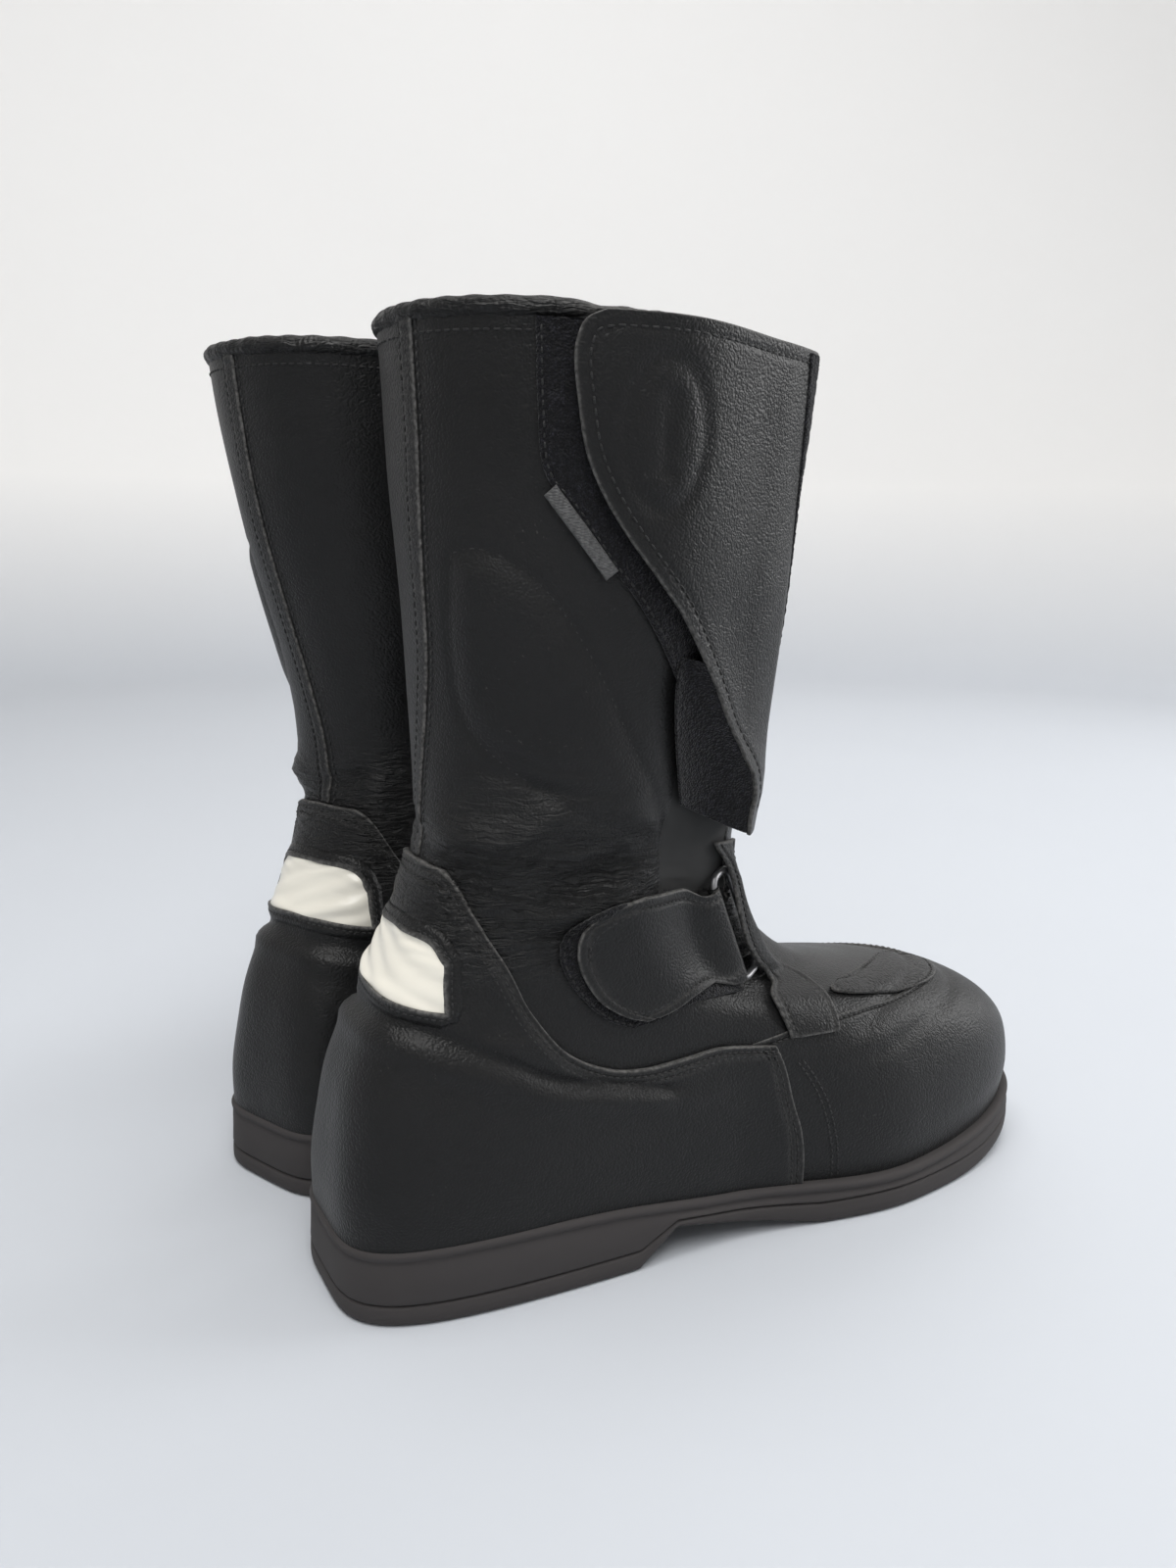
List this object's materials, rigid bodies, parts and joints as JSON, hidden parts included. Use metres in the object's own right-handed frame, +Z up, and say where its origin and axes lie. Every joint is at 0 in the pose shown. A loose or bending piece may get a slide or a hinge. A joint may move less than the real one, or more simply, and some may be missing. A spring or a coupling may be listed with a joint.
{
  "type": "pair of riding boots",
  "caption": "Pair of black leather touring boots with a wrap-round closure flap, an ankle strap through a wire ring, a shift pad, heel reflector and rubber sole unit.",
  "frame": {"origin": "the bottom centre of the pair's bounding box, on the floor", "axes": "+X toward the toes, along the mean heading of the two boots; +Y to the wearer's left; +Z up"},
  "size_m": [0.3162, 0.2684, 0.3151],
  "materials": {
    "black_leather": "matte full-grain cowhide, finely pebbled, creased over the ankle",
    "sole_rubber": "matte moulded rubber, dark warm grey, scuffed",
    "lining_cloth": "brushed knit lining",
    "gusset_cloth": "plain-weave nylon",
    "hook_and_loop": "fuzzy loop pile and hook tape",
    "ring_steel": "dull grey wire",
    "shank_steel": "plain spring steel strip",
    "stiffener_plastic": "moulded thermoplastic sheet",
    "insole_fibre": "pressed fibre board",
    "pad_foam": "open-cell foam",
    "reflective_film": "satin cream reflective film, slightly crumpled",
    "woven_label": "woven side tab, plain"
  },
  "bodies": {
    "pair": {"right_outsole": "sole_rubber", "right_midsole": "sole_rubber", "right_shank": "shank_steel", "right_insole_board": "insole_fibre", "right_footbed": "lining_cloth", "right_toe_stiffener": "stiffener_plastic", "right_heel_stiffener": "stiffener_plastic", "right_lining": "lining_cloth", "right_vamp": "black_leather", "right_instep_panel": "black_leather", "right_quarter": "black_leather", "right_shaft_lateral": "black_leather", "right_shaft_medial": "black_leather", "right_front_panel": "black_leather", "right_gusset": "gusset_cloth", "right_back_strip": "black_leather", "right_collar_binding": "black_leather", "right_loop_strip": "hook_and_loop", "right_side_label": "woven_label", "right_reflector": "reflective_film", "right_heel_badge": "black_leather", "right_shift_pad": "black_leather", "right_strap_pad": "hook_and_loop", "right_ring_keeper": "black_leather", "right_shaft_pad": "pad_foam", "right_shin_pad": "pad_foam", "left_outsole": "sole_rubber", "left_midsole": "sole_rubber", "left_shank": "shank_steel", "left_insole_board": "insole_fibre", "left_footbed": "lining_cloth", "left_toe_stiffener": "stiffener_plastic", "left_heel_stiffener": "stiffener_plastic", "left_lining": "lining_cloth", "left_vamp": "black_leather", "left_instep_panel": "black_leather", "left_quarter": "black_leather", "left_shaft_lateral": "black_leather", "left_shaft_medial": "black_leather", "left_front_panel": "black_leather", "left_gusset": "gusset_cloth", "left_back_strip": "black_leather", "left_collar_binding": "black_leather", "left_loop_strip": "hook_and_loop", "left_side_label": "woven_label", "left_reflector": "reflective_film", "left_heel_badge": "black_leather", "left_shift_pad": "black_leather", "left_strap_pad": "hook_and_loop", "left_ring_keeper": "black_leather", "left_shaft_pad": "pad_foam", "left_shin_pad": "pad_foam"},
    "right_flap": {"right_closure_flap": "black_leather", "right_flap_hook_panel": "hook_and_loop"},
    "right_ring": {"right_strap_ring": "ring_steel"},
    "right_strap": {"right_ankle_strap": "black_leather"},
    "left_flap": {"left_closure_flap": "black_leather", "left_flap_hook_panel": "hook_and_loop"},
    "left_ring": {"left_strap_ring": "ring_steel"},
    "left_strap": {"left_ankle_strap": "black_leather"}
  },
  "joints": [
    {"name": "right_flap_hinge", "type": "hinge", "parent": "pair", "child": "right_flap", "pos_m": [-0.01373, -0.09105, 0.15131], "axis": [0.0933, -0.0818, 0.9923], "range_deg": [0, 95]},
    {"name": "right_ring_pivot", "type": "hinge", "parent": "pair", "child": "right_ring", "pos_m": [-0.00482, -0.09287, 0.09471], "axis": [-0.3354, 0.1075, 0.9359], "range_deg": [0, 8]},
    {"name": "right_strap_hinge", "type": "hinge", "parent": "right_ring", "child": "right_strap", "pos_m": [-0.01578, -0.09624, 0.09117], "axis": [-0.3354, 0.1075, 0.9359], "range_deg": [0, 90]},
    {"name": "left_flap_hinge", "type": "hinge", "parent": "pair", "child": "left_flap", "pos_m": [-0.00007, 0.09118, 0.15131], "axis": [0.0385, -0.1053, -0.9937], "range_deg": [0, 95]},
    {"name": "left_ring_pivot", "type": "hinge", "parent": "pair", "child": "left_ring", "pos_m": [0.00958, 0.09287, 0.09471], "axis": [0.3366, 0.1072, -0.9355], "range_deg": [0, 8]},
    {"name": "left_strap_hinge", "type": "hinge", "parent": "left_ring", "child": "left_strap", "pos_m": [-0.00138, 0.09624, 0.09117], "axis": [0.3356, 0.1075, -0.9359], "range_deg": [0, 90]}
  ]
}
